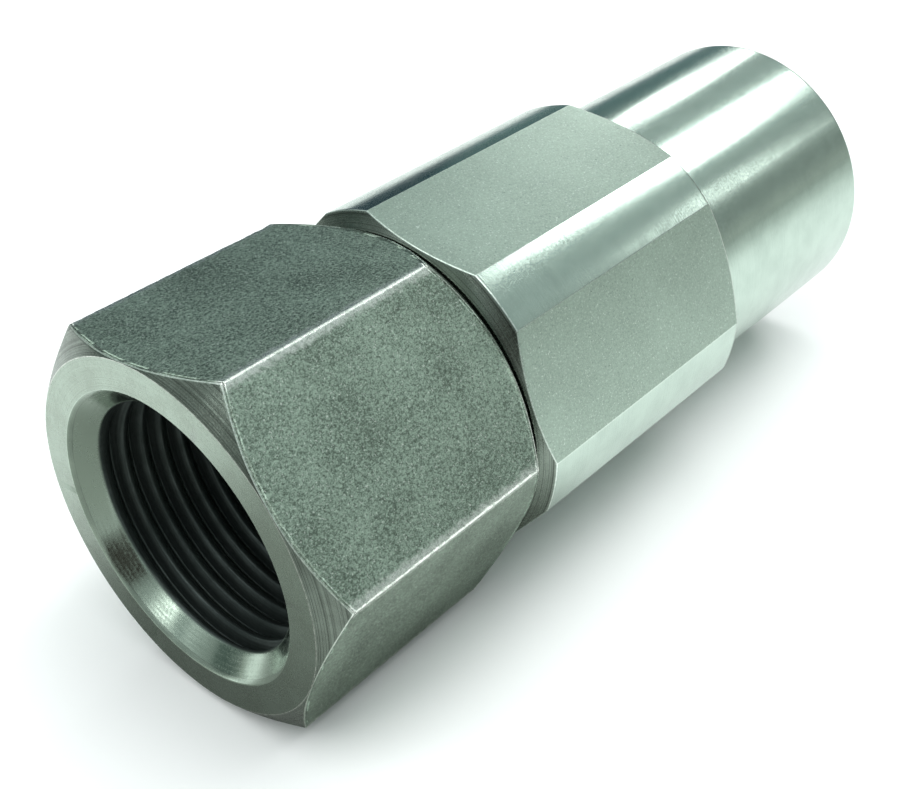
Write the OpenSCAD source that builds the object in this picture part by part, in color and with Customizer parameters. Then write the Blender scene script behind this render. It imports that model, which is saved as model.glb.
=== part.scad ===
// In-line spring-loaded check valve: a hexagonal end cap screwed into a hexagonal body with a round tail.
// Millimetres. +X runs along the flow, from the inlet in the cap to the outlet in the tail. +Z is up.
// The origin is on the flow axis, halfway between the two port faces. The valve is drawn lying as it
// rests on a bench: on one corner of the cap's hexagon and one turned corner of the body's.
// Radii and stations are given as [radius, u], where u is the distance from the inlet face.

/* [Hexagons] */
// Width across the flats of the end cap
cap_af = 34.925; // [34.5:0.025:36]
// Width across the flats of the body
body_af = 35.0; // [34.5:0.025:36]
// Length of the end cap's hexagon
cap_l = 27.6; // [26:0.1:30]
// Gap between the cap and the body, left when the cap clamps the seat ring
seam = 0.4; // [0.2:0.1:0.8]
// Length of the body's hexagon
body_hex_l = 32.7; // [31:0.1:36]
// Diameter that the body hexagon's corners are turned down to
body_corner_d = 37.4; // [37:0.1:38.4]
// Angle that the cap's hexagon is turned from the body's when tight
clock = 16.9; // [10:0.1:24]

/* [Tail] */
// Diameter of the round tail
tail_d = 32.5; // [32:0.1:33.5]
// Length over both port faces
overall_l = 90; // [89:0.5:96]

/* [Ports] */
// Minor diameter of both female port threads
port_minor_d = 24.6; // [24.2:0.1:25]
// Diameter of the 45 degree mouth cone at each port face
mouth_d = 28.8; // [28:0.1:29.4]
// Depth of each port, from its face to the end of the thread
port_depth = 19; // [17:0.5:19]
// Diameter of the flow bore through the cap
flow_d = 19; // [17:0.5:20]

/* [Check mechanism] */
// Travel of the poppet from shut to full open
lift = 5; // [3:0.5:5]
// Diameter of the hole through the seat ring
seat_d = 18; // [17.5:0.5:18]
// Diameter of the poppet's stem
stem_d = 6; // [5:0.5:6]
// Diameter of the spring's wire
wire_d = 1; // [0.8:0.1:1.2]
// Number of turns of the spring, its closed end turns included
turns = 5; // [4:0.5:5]

/* [Hidden] */

round_fn = 96;
touch = 0.02;            // gap left between faces that bear on each other
run = 0.04;              // radial clearance of a running fit
slip = 0.05;             // clearance of a fitted part at its ends, or round it
broken = 0.3;            // chamfer on the edges of the small parts
over = 1;                // how far a cutting or joining shape runs past the face that it meets
slit_angle = 30;         // slant of the slits in the split rings

// Hexagons: circles where the end chamfers start, and the chamfers' angles from the end face
cap_face_r = cap_af/2 - 0.05;
cap_rear_r = cap_af/2 - 0.2;
body_front_r = body_af/2 - 0.3;
body_rear_r = body_af/2 - 0.15;
cap_front_angle = 35;
cap_rear_angle = 45;
body_front_angle = 35;
body_rear_angle = 38;
tail_rim = 0.35;         // chamfer round the tail's end

// The resting pose: the cap's corner and the near end of the body's turned corner touch the bench
cap_corner_r = cap_af/2/cos(30);
body_corner_r = body_corner_d/2;
arc_half = 30 - acos(body_af/body_corner_d);
foot_span = 60 - clock - arc_half;
cap_roll = atan((cap_corner_r - body_corner_r*cos(foot_span))/(body_corner_r*sin(foot_span)));
body_roll = cap_roll + clock;

// Stations along the axis
body_u = cap_l + seam;
shoulder_u = body_u + body_hex_l;
port_r = port_minor_d/2;
mouth_r = mouth_d/2;
mouth_l = mouth_r - port_r;
flow_r = flow_d/2;
drill_slope = 1/tan(59);  // a drill point's length for each millimetre of radius

// Screwed joint between cap and body
joint_pitch = 25.4/12;
joint_turns = 4;
joint_major_r = 15;
joint_minor_r = 13.75;
joint_gap = 0.08;
neck_l = 2;
joint_u = cap_l + neck_l;
nose_u = joint_u + joint_turns*joint_pitch;
nose_r = 13.7;
pilot_r = 13.75;
nose_l = 5.3;
nose_end_u = nose_u + nose_l;

// Static seals, all of one section, squeezed to the depth of their grooves
seal_depth = 1.45;
o_ring_d = 1.85;
groove_r = pilot_r - seal_depth;
backup_w = 1.1;
cap_groove_l = backup_w + o_ring_d + 0.2;
backup_slit = 0.25;
cap_groove_u = nose_u + 1.2;
seat_groove_l = o_ring_d + 0.3;

// Seat ring, clamped between the cap's nose and a shoulder in the body
seat_ring_l = 5;
seat_u = nose_end_u + touch;
seat_end_u = seat_u + seat_ring_l;
seat_r = seat_d/2;
seat_cone = 1.4;
seat_groove_u = seat_u + 0.9;

// Poppet, its soft seal and what clamps the seal
disc_r = 10.8;
disc_u = seat_end_u + 0.2;
disc_l = 2.6;
disc_edge_l = 1.3;       // length of the disc before its back slopes in
disc_end_u = disc_u + disc_l;
spring_seat_r = 8.2;
seal_t = 2;
seal_gap = 0.07;         // radial gap between the soft seal and the seat's cone
spigot_r = 5;
seal_u = disc_u - seal_t;
retainer_r = 8.2;
retainer_l = 3.6;
retainer_u = seal_u - retainer_l;
retainer_front_r = 5.6;
retainer_rim_l = 1.2;
retainer_bore_r = 2.15;
head_recess_r = 3.7;
head_recess_l = 2.4;
screw_r = 2;
screw_head_r = 3.4;
screw_head_l = 1.6;
screw_l = 6.5;           // length of the screw past the front of the seal
screw_tip = 0.5;
socket_af = 2.5;
socket_l = 1;
washer_t = 0.6;
washer_slot = 0.7;
screw_hole_l = 8;

// Cavity, guide and spring
cavity_r = 13;
guide_r = cavity_r - slip;
land_r = 11.2;
land_l = 1.3;
land_u = overall_l - port_depth - (port_r - land_r)*drill_slope - land_l;
guide_l = 5.5;
web_l = 4;
web_t = 2;
webs = 3;
guide_u = land_u - touch - guide_l;
flange_r = 8.2;
flange_l = 1.8;
hub_r = 5.4;
bush_r = 4;
bush_recess = 0.3;
stem_r = stem_d/2;
boss_r = 5;
stem_tip = 0.5;
boss_end_u = guide_u - lift - 0.1;
shim_t = 0.5;
shim_gap = 0.3;          // radial gap between the shim and the poppet's boss
shim_u = guide_u - shim_t - touch;
spring_r = 7;
spring_u = disc_end_u + touch;
spring_l = shim_u - touch - spring_u;

// Everything is drawn standing on its inlet face, and this lays it along X
module along_axis() {
    translate([-overall_l/2, 0, 0]) rotate([0, 90, 0]) children();
}

// A turned solid from its half section, given as [radius, u]
module turned(points) {
    rotate_extrude($fn = round_fn) polygon(points);
}

// A length of hexagonal bar with a chamfer turned on each end
module hexagon(af, u, l, front_r, front_angle, rear_r, rear_angle, outer_r) {
    front_l = (outer_r - front_r)*tan(front_angle);
    rear_l = (outer_r - rear_r)*tan(rear_angle);
    intersection() {
        translate([0, 0, u]) cylinder(h = l, r = af/2/cos(30), $fn = 6);
        turned([[0, u], [front_r, u], [outer_r, u + front_l], [outer_r, u + l - rear_l],
                [rear_r, u + l], [0, u + l]]);
    }
}

// One side of a row of thread ridges, from u upwards: root, flank, crest, flank
function ridges(root_r, crest_r, u, count, pitch) =
    let (flank = (crest_r - root_r)*tan(30), crest = pitch/8, root = pitch - crest - 2*flank)
    [for (i = [0:count - 1])
        for (p = [[root_r, root/2], [crest_r, root/2 + flank], [crest_r, root/2 + flank + crest],
                  [root_r, root/2 + 2*flank + crest]])
            [p[0], u + i*pitch + p[1]]];

// A ring squeezed between two cylinders, so its section is a circle with two flats
module squeezed_ring(inner_r, depth, section_d, u) {
    rotate_extrude($fn = round_fn) intersection() {
        translate([inner_r + depth/2, u]) circle(d = section_d, $fn = 48);
        translate([inner_r + touch, u - section_d]) square([depth - 2*touch, 2*section_d]);
    }
}

module inlet_cap() {
    color("#8d9088") along_axis() rotate([0, 0, cap_roll]) difference() {
        union() {
            hexagon(cap_af, 0, cap_l, cap_face_r, cap_front_angle, cap_rear_r, cap_rear_angle,
                    cap_corner_r + over);
            cap_shank();
        }
        turned([[0, -over], [mouth_r + over, -over], [port_r, mouth_l], [port_r, port_depth],
                [flow_r, port_depth + (port_r - flow_r)*drill_slope],
                [flow_r, nose_end_u + over], [0, nose_end_u + over]]);
    }
}

module cap_shank() {
    groove_end_u = cap_groove_u + cap_groove_l;
    neck_r = joint_minor_r - 0.1;
    lead = 0.4;
    turned(concat(
        [[0, cap_l - over], [neck_r, cap_l - over], [neck_r, joint_u]],
        ridges(joint_minor_r, joint_major_r, joint_u, joint_turns, joint_pitch),
        [[nose_r, nose_u], [nose_r, cap_groove_u], [groove_r, cap_groove_u], [groove_r, groove_end_u],
         [nose_r, groove_end_u], [nose_r, nose_end_u - lead], [nose_r - lead, nose_end_u],
         [0, nose_end_u]]));
}

module body() {
    tail_r = tail_d/2;
    port_u = overall_l - port_depth;
    mouth_u = overall_l - mouth_l;
    entry_r = joint_major_r + joint_gap + 0.5;
    female_minor_r = joint_minor_r + joint_gap;
    runout_u = nose_u + 0.3;
    color("#a9aca6") along_axis() rotate([0, 0, body_roll]) difference() {
        union() {
            hexagon(body_af, body_u, body_hex_l, body_front_r, body_front_angle, body_rear_r,
                    body_rear_angle, body_corner_r);
            turned([[0, shoulder_u - over], [tail_r, shoulder_u - over], [tail_r, overall_l - tail_rim],
                    [tail_r - tail_rim, overall_l], [0, overall_l]]);
        }
        turned(concat(
            [[0, body_u - over], [entry_r + over, body_u - over],
             [female_minor_r, body_u + entry_r - female_minor_r]],
            ridges(female_minor_r, joint_major_r + joint_gap, joint_u, joint_turns, joint_pitch),
            [[female_minor_r, runout_u], [pilot_r, runout_u + joint_gap],
             [pilot_r, seat_end_u + touch], [cavity_r, seat_end_u + touch], [cavity_r, land_u],
             [land_r, land_u], [land_r, port_u - (port_r - land_r)*drill_slope], [port_r, port_u],
             [port_r, mouth_u], [mouth_r + over, overall_l + over], [0, overall_l + over]]));
    }
}

module cap_o_ring() {
    color("#1c1c1e") along_axis()
        squeezed_ring(groove_r, seal_depth, o_ring_d, cap_groove_u + cap_groove_l - o_ring_d/2 - slip);
}

// Split anti-extrusion ring on the outer side of the cap's O-ring
module backup_ring() {
    u = cap_groove_u + slip;
    inner_r = groove_r + touch;
    outer_r = pilot_r - touch;
    color("#e9e7de") along_axis() difference() {
        turned([[inner_r, u], [outer_r, u], [outer_r, u + backup_w], [inner_r, u + backup_w]]);
        translate([0, outer_r, u + backup_w/2]) rotate([0, slit_angle, 0])
            cube([backup_slit, 4, 4], center = true);
    }
}

module seat_ring() {
    outer_r = pilot_r - 0.07;
    groove_end_u = seat_groove_u + seat_groove_l;
    cone_r = seat_r + seat_cone;
    color("#b9bab6") along_axis() turned([
        [seat_r, seat_u], [outer_r - broken, seat_u], [outer_r, seat_u + broken], [outer_r, seat_groove_u],
        [groove_r, seat_groove_u], [groove_r, groove_end_u], [outer_r, groove_end_u],
        [outer_r, seat_end_u], [cone_r, seat_end_u], [seat_r, seat_end_u - seat_cone]]);
}

module seat_o_ring() {
    color("#1c1c1e") along_axis()
        squeezed_ring(groove_r, seal_depth, o_ring_d, seat_groove_u + seat_groove_l/2);
}

// Disc, lift-stop boss and stem in one turned piece, tapped in front for the retainer's screw
module poppet() {
    stem_end_u = land_u;
    front_u = seal_u + slip;
    color("#c4c5c2") along_axis() difference() {
        turned([[0, front_u], [spigot_r, front_u], [spigot_r, disc_u], [disc_r, disc_u],
                [disc_r, disc_u + disc_edge_l], [spring_seat_r, disc_end_u], [boss_r, disc_end_u],
                [boss_r, boss_end_u - broken], [boss_r - broken, boss_end_u], [stem_r, boss_end_u],
                [stem_r, stem_end_u - stem_tip], [stem_r - stem_tip, stem_end_u], [0, stem_end_u]]);
        translate([0, 0, front_u - over])
            cylinder(h = screw_hole_l + over, r = screw_r + touch, $fn = round_fn);
    }
}

// Soft ring whose bevelled edge closes on the seat ring's cone
module poppet_seal() {
    front_r = seat_r - seal_gap - (seat_end_u - seat_cone - seal_u);
    back_r = front_r + seal_t - slip;
    end_u = disc_u - touch;
    color("#d9c9a3") along_axis() turned([
        [spigot_r + touch, seal_u], [front_r, seal_u], [back_r, end_u - slip], [back_r, end_u],
        [spigot_r + touch, end_u]]);
}

// Nose piece that clamps the soft seal against the disc
module seal_retainer() {
    end_u = seal_u - touch;
    color("#b4b5b1") along_axis() turned([
        [retainer_bore_r, retainer_u + head_recess_l], [head_recess_r, retainer_u + head_recess_l],
        [head_recess_r, retainer_u], [retainer_front_r, retainer_u],
        [retainer_r, end_u - retainer_rim_l], [retainer_r, end_u], [retainer_bore_r, end_u]]);
}

module lock_washer() {
    end_u = retainer_u + head_recess_l - touch;
    color("#8f9190") along_axis() difference() {
        turned([[retainer_bore_r, end_u - washer_t], [screw_head_r, end_u - washer_t],
                [screw_head_r, end_u], [retainer_bore_r, end_u]]);
        translate([0, screw_head_r, end_u]) rotate([0, slit_angle, 0])
            cube([washer_slot, 3.2, 4], center = true);
    }
}

module retainer_screw() {
    head_end_u = retainer_u + head_recess_l - 2*touch - washer_t;
    head_u = head_end_u - screw_head_l;
    end_u = seal_u + screw_l;
    color("#76797c") along_axis() difference() {
        turned([[0, head_u], [screw_head_r - broken, head_u], [screw_head_r, head_u + broken],
                [screw_head_r, head_end_u], [screw_r, head_end_u], [screw_r, end_u - screw_tip],
                [screw_r - screw_tip, end_u], [0, end_u]]);
        translate([0, 0, head_u - over]) cylinder(h = socket_l + over, r = socket_af/2/cos(30), $fn = 6);
    }
}

// The spring's centreline: closed turns at both ends and even pitch between them
function coil_rise(t) =
    let (closed = 1, open = turns - 2*closed, rise = spring_l - 3*wire_d)
    t < closed ? t*wire_d
    : t < turns - closed ? closed*wire_d + (t - closed)/open*rise
    : closed*wire_d + rise + (t - turns + closed)*wire_d;

module spring() {
    sides = 10;
    per_turn = 24;
    rings = turns*per_turn;
    lift_u = spring_u + wire_d/2;
    points = [for (i = [0:rings]) let (t = i/per_turn, a = 360*t)
        for (k = [0:sides - 1]) let (b = 360*k/sides, r = spring_r + wire_d/2*cos(b))
            [r*cos(a), r*sin(a), lift_u + coil_rise(t) + wire_d/2*sin(b)]];
    walls = [for (i = [0:rings - 1]) for (k = [0:sides - 1])
        [i*sides + k, i*sides + (k + 1)%sides, (i + 1)*sides + (k + 1)%sides, (i + 1)*sides + k]];
    start = [[for (k = [sides - 1:-1:0]) k]];
    finish = [[for (k = [0:sides - 1]) rings*sides + k]];
    color("#9a9da0") along_axis() polyhedron(points, concat(walls, start, finish), convexity = 10);
}

// Hardened washer that sets the spring's preload
module spring_shim() {
    inner_r = boss_r + shim_gap;
    outer_r = flange_r - 0.2;
    color("#7d8084") along_axis() turned([
        [inner_r, shim_u], [outer_r, shim_u], [outer_r, shim_u + shim_t], [inner_r, shim_u + shim_t]]);
}

// Hub, webs and rim. The spring holds the rim against the land in the body
module spring_guide() {
    web_u = guide_u + guide_l - web_l;
    end_u = guide_u + guide_l;
    color("#adaeab") along_axis() difference() {
        union() {
            turned([[0, guide_u], [flange_r, guide_u], [flange_r, guide_u + flange_l],
                    [hub_r, guide_u + flange_l], [hub_r, end_u], [0, end_u]]);
            turned([[land_r, web_u], [guide_r - broken, web_u], [guide_r, web_u + broken],
                    [guide_r, end_u], [land_r, end_u]]);
            for (i = [0:webs - 1]) rotate([0, 0, i*360/webs])
                translate([hub_r - over, -web_t/2, web_u])
                    cube([land_r - hub_r + 1.5*over, web_t, web_l]);
        }
        translate([0, 0, guide_u - over]) cylinder(h = guide_l + 2*over, r = bush_r, $fn = round_fn);
    }
}

module guide_bush() {
    u = guide_u + bush_recess;
    end_u = guide_u + guide_l - slip;
    inner_r = stem_r + run;
    outer_r = bush_r - 0.01;
    color("#efeee8") along_axis() turned([[inner_r, u], [outer_r, u], [outer_r, end_u], [inner_r, end_u]]);
}

inlet_cap();
body();
cap_o_ring();
backup_ring();
seat_ring();
seat_o_ring();
poppet();
poppet_seal();
seal_retainer();
lock_washer();
retainer_screw();
spring();
spring_shim();
spring_guide();
guide_bush();
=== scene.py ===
"""Looks of an in-line check valve: a hexagonal end cap screwed into a hexagonal body with a round tail.

Lengths are in millimetres until a mesh is made. A point of a turned or hexagonal piece is given as
(radius, u) at an angle: u is the distance from the inlet face along the flow, and the angle is measured round
the flow axis from straight down towards +Y, which is the way a right-hand thread turns as it goes along +X.
"""

import math

import bmesh
import bpy
import numpy as np
from mathutils import Matrix, Vector, noise


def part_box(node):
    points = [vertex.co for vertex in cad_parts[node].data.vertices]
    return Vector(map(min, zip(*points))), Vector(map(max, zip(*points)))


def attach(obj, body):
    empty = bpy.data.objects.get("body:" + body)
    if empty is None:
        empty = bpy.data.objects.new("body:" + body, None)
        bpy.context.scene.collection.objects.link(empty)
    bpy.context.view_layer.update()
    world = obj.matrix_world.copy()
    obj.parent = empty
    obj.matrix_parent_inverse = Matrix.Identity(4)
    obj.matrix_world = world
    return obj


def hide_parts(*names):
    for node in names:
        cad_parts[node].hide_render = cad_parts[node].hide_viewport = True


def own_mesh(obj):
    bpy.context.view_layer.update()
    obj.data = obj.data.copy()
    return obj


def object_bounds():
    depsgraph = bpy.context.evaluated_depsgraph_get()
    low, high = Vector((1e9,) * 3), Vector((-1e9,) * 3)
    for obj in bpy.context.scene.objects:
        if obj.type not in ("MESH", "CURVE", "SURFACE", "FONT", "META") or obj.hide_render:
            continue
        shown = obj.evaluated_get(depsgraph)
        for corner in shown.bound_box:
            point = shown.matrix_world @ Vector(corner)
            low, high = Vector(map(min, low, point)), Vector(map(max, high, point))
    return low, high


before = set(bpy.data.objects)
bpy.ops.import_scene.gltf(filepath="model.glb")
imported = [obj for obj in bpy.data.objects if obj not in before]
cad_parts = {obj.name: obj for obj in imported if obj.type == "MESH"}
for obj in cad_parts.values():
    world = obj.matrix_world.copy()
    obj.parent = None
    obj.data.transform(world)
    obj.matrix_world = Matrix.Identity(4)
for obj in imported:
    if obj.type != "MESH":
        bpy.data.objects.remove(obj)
cad_lo, cad_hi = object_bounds()

MM = 0.001

# Lengths along the valve, from the frame where it shows them
OVERALL = (cad_hi.x - cad_lo.x) / MM


def station(x):
    """Distance from the inlet face of a place in the frame."""
    return (x - cad_lo.x) / MM


CAP_END = 27.6
BODY_START = station(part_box("body")[0].x)
SHOULDER = BODY_START + 32.7
NOSE_END = station(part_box("inlet_cap")[1].x)

# Hexagons: half the width across flats, where the chamfers start on the end faces, and their angles
CAP_HALF_AF = 34.925 / 2
CAP_FACE_R = CAP_HALF_AF - 0.05
CAP_REAR_R = CAP_HALF_AF - 0.2
BODY_HALF_AF = 35.0 / 2
BODY_CORNER_R = 37.4 / 2
BODY_FRONT_R = BODY_HALF_AF - 0.3
BODY_REAR_R = BODY_HALF_AF - 0.15
FRONT_SLOPE = math.tan(math.radians(35))
CAP_REAR_SLOPE = math.tan(math.radians(45))
BODY_REAR_SLOPE = math.tan(math.radians(38))

# The resting pose, as in the CAD: a cap corner and the near end of a turned body corner touch the bench
CLOCK = 16.9
ARC_HALF = 30 - math.degrees(math.acos(BODY_HALF_AF / BODY_CORNER_R))
FOOT_SPAN = math.radians(60 - CLOCK - ARC_HALF)
CAP_ROLL = math.degrees(math.atan(
    (CAP_HALF_AF / math.cos(math.radians(30)) - BODY_CORNER_R * math.cos(FOOT_SPAN))
    / (BODY_CORNER_R * math.sin(FOOT_SPAN))))
BODY_ROLL = CAP_ROLL + CLOCK

TAIL_R = 16.25
TAIL_RIM = 0.35

# Ports: 1-1/16-12 threads
PITCH = 25.4 / 12
PORT_MINOR_R = 12.3
PORT_DEPTH = 19.0
PORT_THREAD_DEPTH = 1.146
PORT_THREAD_END = 17.4
MOUTH_R = 14.4
FLOW_R = 9.5
DRILL_SLOPE = 1 / math.tan(math.radians(59))

# Screwed joint between cap and body
JOINT_START = CAP_END + 2
JOINT_END = JOINT_START + 4 * PITCH
JOINT_MINOR_R = 13.75
JOINT_DEPTH = 1.25
JOINT_GAP = 0.08
NECK_R = JOINT_MINOR_R - 0.1
NOSE_R = 13.7
PILOT_R = 13.75
ENTRY_R = JOINT_MINOR_R + JOINT_DEPTH + JOINT_GAP + 0.5
GROOVE_R = 12.3
CAP_GROOVE = (JOINT_END + 1.2, JOINT_END + 4.35)

# Inside the body, whose shoulders are drawn this far from the pieces that rest on them
REST_GAP = 0.02
SEAT_END = station(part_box("seat_ring")[1].x)
CAVITY_R = 13.0
LAND_R = 11.2
LAND_U = station(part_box("spring_guide")[1].x) + REST_GAP
PORT_FLOOR = OVERALL - PORT_DEPTH

SEAT_R = 9.0
SEAT_CONE = 1.4
LIFT = 5.0
SEAL_LENGTH = 2.0
RETAINER_R = 8.2
STEM_R = 3.0
SCREW_BORE_R = 2.15
SCREW_HEAD_R = 3.4
SCREW_ROOT_R = 1.62
SCREW_PITCH = 0.7
SCREW_DEPTH = 0.36

# Where the rows that follow a port's helix start: past this much of the mouth, and short of the drilled end
MOUTH_STEP = 0.4
HELIX_MARGIN = 1.0

# How far apart the corners of a bevel are, for fine, usual and wide bevels
FINE, EDGE, WIDE = 0.05, 0.1, 0.25

# How far the cap's corners are rounded over at least, and the rows along its flats
CORNER_ROUND = 0.2
SIDE_ROWS = 84

SIXTH, TWELFTH = math.radians(60), math.radians(30)
SLIT_SLANT = math.radians(30)


# ---------------------------------------------------------------- meshes

def smooth_step(x):
    x = np.clip(x, 0, 1)
    return x * x * (3 - 2 * x)


def evenly(count):
    """Angles in degrees for a plain round piece."""
    return np.arange(count) * 360.0 / count


def around_corners(first, offsets):
    """Angles in degrees at the same offsets either side of each of six corners."""
    one = sorted({o for o in offsets} | {-o for o in offsets if o < 30})
    return np.array([first + 60 * k + o for k in range(6) for o in one])


class Profile:
    """The rows of a closed surface: at each angle, a chain of (radius, u) points with the same count."""

    def __init__(self, angles):
        self.angles = np.radians(angles)
        self.rows, self.wear, self.looks, self.wraps = [], [], [], []
        self.column_wear = {}

    def add(self, radius, u, look, wear=0.0):
        """One row. The look is that of the surface from this row to the next."""
        shape = self.angles.shape
        self.rows.append(np.stack([np.broadcast_to(radius, shape), np.broadcast_to(u, shape)], 1))
        self.wear.append(np.maximum(np.broadcast_to(wear, shape), self.column_wear.get(look, 0.0)))
        self.looks.append(look)
        self.wraps.append(len(self.rows) - 1)

    def chain(self, corners, first=True, last=True):
        """Rows along straight runs between (radius, u, bevel, steps, look) corners, which are bevelled.
        Steps and look are those of the run that follows. An end that isn't wanted only gives a direction."""
        shape = self.angles.shape
        points = [np.stack([np.broadcast_to(c[0], shape), np.broadcast_to(c[1], shape)], 1)
                  for c in corners]
        for i, (_, _, bevel, steps, look) in enumerate(corners):
            here = points[i]
            if i == 0 and not first or i == len(corners) - 1 and not last:
                continue
            if bevel and 0 < i < len(corners) - 1:
                self.bevel(points[i - 1], here, points[i + 1], bevel, corners[i - 1][4], look)
            else:
                self.add(here[:, 0], here[:, 1], look)
            if i < len(corners) - 1:
                for k in range(1, steps):
                    part = here + (points[i + 1] - here) * k / steps
                    self.add(part[:, 0], part[:, 1], look)

    def bevel(self, before, here, after, size, look_before, look):
        """A bevelled corner between two runs, with a row on each side that keeps the runs' shading flat."""
        near, far = self.toward(here, before, size), self.toward(here, after, size)
        middle = (near + 2 * here + far) / 4
        held, holding = self.toward(here, before, 3 * size), self.toward(here, after, 3 * size)
        self.add(held[:, 0], held[:, 1], look_before)
        self.add(near[:, 0], near[:, 1], look)
        self.add(middle[:, 0], middle[:, 1], look, wear=1.0)
        self.add(far[:, 0], far[:, 1], look)
        self.add(holding[:, 0], holding[:, 1], look)

    @staticmethod
    def toward(here, there, bevel):
        """A point that far from here towards there, and always less than halfway."""
        run = there - here
        length = np.maximum(np.linalg.norm(run, axis=1, keepdims=True), 1e-9)
        return here + run * 0.45 * (1 - np.exp(-bevel / length / 0.45))

    def thread(self, radius_at, lowest, highest, depth, look, forward, datum=0.0, pitch=PITCH):
        """Rows that follow a right-hand helix between two stations, so that crests and roots stay crisp.
        radius_at takes a station and the part of the pitch it is at. The helix has a root at the datum."""
        phases = thread_phases(depth, pitch)
        per_turn = len(phases)
        part = (self.angles - self.angles[0]) / (2 * math.pi)
        datum = datum + self.angles[0] / (2 * math.pi) * pitch
        start = math.floor((lowest - datum) / pitch)
        turns = math.ceil((highest - datum) / pitch) - start + 1
        first = len(self.rows)
        total = turns * per_turn + 1
        order = range(total) if forward else range(total - 1, -1, -1)
        for k in order:
            along = datum + (start + k // per_turn + phases[k % per_turn] - 1 + part) * pitch
            u = np.clip(along, lowest, highest)
            self.add(radius_at(u, (u - datum) / pitch - part), u, look)
        last = len(self.rows) - 1
        for i in range(first, last + 1):
            self.wraps[i] = min(i + per_turn, last) if forward else max(i - per_turn, first)

    def piece(self, name, looks, rename=None):
        """The mesh object. rename gives another look to the faces of some angles, as {look: (mask, look)}."""
        count, rows = len(self.angles), len(self.rows)
        grid = np.stack(self.rows, 1)
        sine, cosine = np.sin(self.angles)[:, None], np.cos(self.angles)[:, None]
        x = grid[:, :, 1] * MM + cad_lo.x
        places = np.stack([x, grid[:, :, 0] * MM * sine, -grid[:, :, 0] * MM * cosine], 2).reshape(-1, 3)
        index = np.arange(count * rows).reshape(count, rows)
        following = np.vstack([index[1:], index[0][self.wraps]])
        names = list(looks)
        faces, slots = [], []
        for i in range(rows):
            j = (i + 1) % rows
            look = self.looks[i]
            masked, other = (rename or {}).get(look, (None, look))
            for c in range(count):
                faces.append((index[c, i], following[c, i], following[c, j], index[c, j]))
                slots.append(names.index(other if masked is not None and masked[c] else look))
        wear = np.stack(self.wear, 1).ravel()
        return mesh_piece(name, places, faces, slots, [looks[n] for n in names], wear)


def thread_phases(depth, pitch=PITCH):
    """Where the rows of one turn of thread lie, as parts of the pitch: both sides of each corner, and
    between."""
    crest = 1 / 16
    root = crest + depth * math.tan(math.radians(30)) / pitch
    ease = 0.012
    half = [0.0, crest - ease, crest + ease, (crest + root) / 2, root - ease, root + ease]
    return sorted([0.5 + p for p in half] + [0.5 - p for p in half[1:]] + [0.0])


def thread_height(phase, depth, pitch=PITCH):
    """Height of a 60 degree thread over its root at a part of the pitch."""
    flank = depth * math.tan(math.radians(30)) / pitch
    away = np.abs(phase % 1.0 - 0.5)
    return depth * np.clip((1 / 16 + flank - away) / flank, 0, 1)


def mesh_piece(name, places, faces, slots, materials, wear=None):
    """A mesh object with merged doubles, one material slot for each look, and normals that favour large
    faces."""
    mesh = bpy.data.meshes.new(name)
    mesh.from_pydata([tuple(p) for p in places], [], [tuple(int(i) for i in f) for f in faces])
    mesh.polygons.foreach_set("material_index", slots)
    mesh.polygons.foreach_set("use_smooth", [True] * len(mesh.polygons))
    worn = mesh.attributes.new("wear", "FLOAT", "POINT")
    worn.data.foreach_set("value", np.zeros(len(places)) if wear is None else wear)
    for material in materials:
        mesh.materials.append(material)
    work = bmesh.new()
    work.from_mesh(mesh)
    bmesh.ops.remove_doubles(work, verts=work.verts, dist=0.0004 * MM)
    bmesh.ops.dissolve_degenerate(work, edges=work.edges, dist=0.0002 * MM)
    work.to_mesh(mesh)
    work.free()
    piece = bpy.data.objects.new(name, mesh)
    bpy.context.scene.collection.objects.link(piece)
    weigh = piece.modifiers.new("Weighted normals", "WEIGHTED_NORMAL")
    weigh.keep_sharp = True
    return piece


def stands_for(piece, node, body):
    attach(piece, body)
    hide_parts(node)
    return piece


# ---------------------------------------------------------------- materials

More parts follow.
